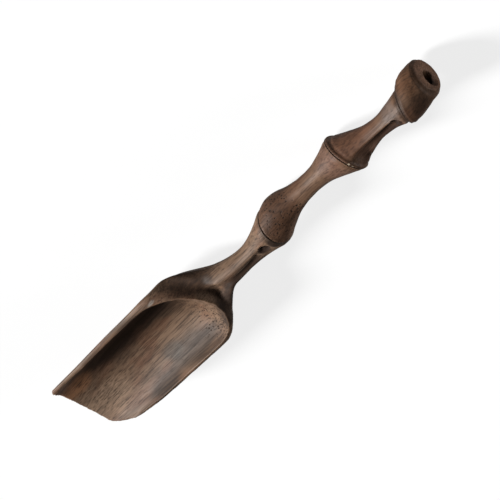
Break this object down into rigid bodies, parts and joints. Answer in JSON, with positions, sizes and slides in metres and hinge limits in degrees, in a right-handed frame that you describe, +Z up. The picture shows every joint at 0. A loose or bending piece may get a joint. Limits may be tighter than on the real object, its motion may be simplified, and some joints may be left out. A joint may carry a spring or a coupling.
{
  "type": "tea scoop",
  "caption": "Dark wooden tea scoop: a long open trough bowl on a slim handle carved like a bamboo stem, ending in a round knob with a hanging hole.",
  "frame": {"origin": "middle of the scoop's box, on the table that it rests on", "axes": "+X from the knob along the handle to the lip, +Y to the left as seen from the handle, +Z up out of the open bowl"},
  "size_m": [0.187, 0.036, 0.0154],
  "materials": {
    "wood": "dark oiled open-pored hardwood, satin"
  },
  "bodies": {
    "root": {"end_knob": "wood", "upper_joint": "wood", "lower_joint": "wood", "scoop_bowl": "wood"}
  },
  "joints": []
}
